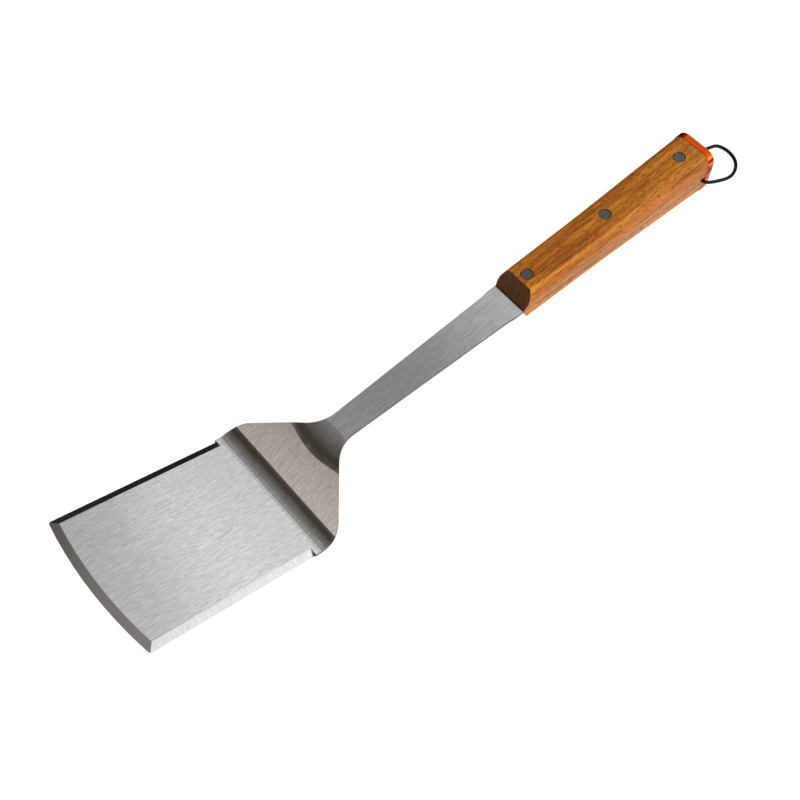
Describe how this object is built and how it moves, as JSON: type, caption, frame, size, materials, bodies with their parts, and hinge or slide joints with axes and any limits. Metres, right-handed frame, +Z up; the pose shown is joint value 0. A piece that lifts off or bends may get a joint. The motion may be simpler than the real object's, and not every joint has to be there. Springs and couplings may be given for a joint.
{
  "type": "grill spatula",
  "caption": "Long grill spatula: offset brushed steel blade with ground bevels, full tang, riveted wooden scales, orange end cap and black hanging loop.",
  "frame": {"origin": "middle of the box of the rigid tool, on the surface it rests on; the hanging loop is left out", "axes": "+X along the handle from the blade to the butt, +Y to the side, +Z up off the surface; the handle is level and the blade rises towards its front"},
  "size_m": [0.5007, 0.094, 0.0448],
  "materials": {
    "brushed_steel": "brushed along the tool's length, with cross-ground bevels",
    "handle_wood": "oiled, fine straight grain along the handle, dark end grain",
    "rivet_metal": "dark satin",
    "orange_anodised": "satin orange anodised",
    "screw_steel": "satin",
    "black_leather": "smooth black"
  },
  "bodies": {
    "spatula": {"blade_and_tang": "brushed_steel", "upper_scale": "handle_wood", "lower_scale": "handle_wood", "end_cap": "orange_anodised", "cap_screw_upper": "screw_steel", "cap_screw_lower": "screw_steel", "rivet_tube_1": "rivet_metal", "rivet_pin_1": "rivet_metal", "rivet_tube_2": "rivet_metal", "rivet_pin_2": "rivet_metal", "rivet_tube_3": "rivet_metal", "rivet_pin_3": "rivet_metal"},
    "loop": {"hanging_loop": "black_leather", "loop_sleeve": "screw_steel"}
  },
  "joints": [
    {"name": "loop_swing", "type": "hinge", "parent": "spatula", "child": "loop", "pos_m": [0.22406, 0, 0.01717], "axis": [0, -1, 0], "range_deg": [-90, 130]}
  ]
}
